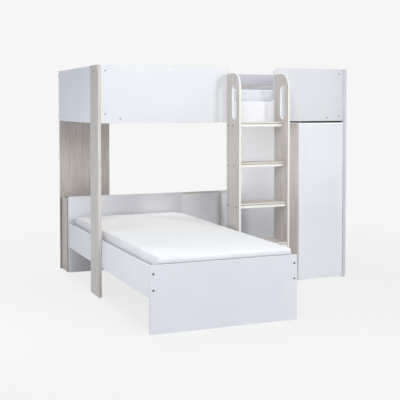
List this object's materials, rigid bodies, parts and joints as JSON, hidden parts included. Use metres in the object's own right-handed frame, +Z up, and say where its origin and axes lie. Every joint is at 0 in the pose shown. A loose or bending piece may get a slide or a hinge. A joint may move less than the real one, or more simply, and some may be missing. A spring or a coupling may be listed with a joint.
{
  "type": "l shaped bunk bed",
  "caption": "L shaped bunk bed: a guarded upper bunk over a narrow wardrobe and a low bedhead unit, an open-tread ladder, and a lower bed set at right angles.",
  "frame": {"origin": "middle of the whole outline, on the floor", "axes": "+Z up, +X along the upper bunk from its open end to the wardrobe, +Y from the lower bed's footboard to the back"},
  "size_m": [1.974, 2.209, 1.608],
  "materials": {
    "white_board": "smooth matt white laminate on board",
    "wood_board": "greyed oak grain laminate",
    "pine": "plain sawn softwood",
    "ticking": "white knitted mattress cover",
    "steel": "zinc plated",
    "plastic": "moulded nylon"
  },
  "bodies": {
    "frame": {"front_left_post": "wood_board", "left_end_panel": "white_board", "front_guard": "white_board", "back_guard": "white_board", "right_side_panel": "white_board", "back_left_panel": "wood_board", "front_ledger": "pine", "rear_ledger": "pine", "ledge_front": "white_board", "ledge_shelf": "wood_board", "ledge_cleat": "pine", "ledge_end_cleats": "pine", "corner_blocks": "pine", "end_battens": "pine", "upper_slats": "pine", "upper_mattress": "ticking", "guard_bolts": "steel", "end_panel_bolts": "steel", "right_panel_bolts": "steel", "ladder_left_upright": "wood_board", "ladder_right_upright": "wood_board", "tread_1": "wood_board", "tread_2": "wood_board", "tread_3": "wood_board", "tread_4": "wood_board", "ladder_bolts": "steel", "left_rail": "white_board", "right_rail": "white_board", "footboard": "white_board", "headboard": "white_board", "rail_cleats": "pine", "lower_slats": "pine", "lower_mattress": "ticking", "footboard_bolts": "steel", "headboard_bolts": "steel", "low_left_board": "wood_board", "low_right_board": "wood_board", "low_shelf": "wood_board", "low_back_panel": "white_board", "low_back_cap": "wood_board", "return_panel": "white_board", "return_cap": "wood_board", "corner_batten": "wood_board", "wardrobe_post": "wood_board", "wardrobe_side_panel": "white_board", "wardrobe_back": "white_board", "wardrobe_top": "white_board", "wardrobe_bottom": "white_board", "wardrobe_plinth": "white_board", "wardrobe_shelf": "white_board", "shelf_pins": "steel", "hanging_rail": "steel", "rail_sockets": "steel", "door_pivot_brackets": "steel", "magnetic_catch": "steel"},
    "door": {"wardrobe_door": "white_board", "door_pivot_bushes": "plastic", "strike_plate": "steel"}
  },
  "joints": [
    {"name": "door_swing", "type": "hinge", "parent": "frame", "child": "door", "pos_m": [0.947, -0.0705, 0.6], "axis": [0, 0, 1], "range_deg": [0, 105]}
  ]
}
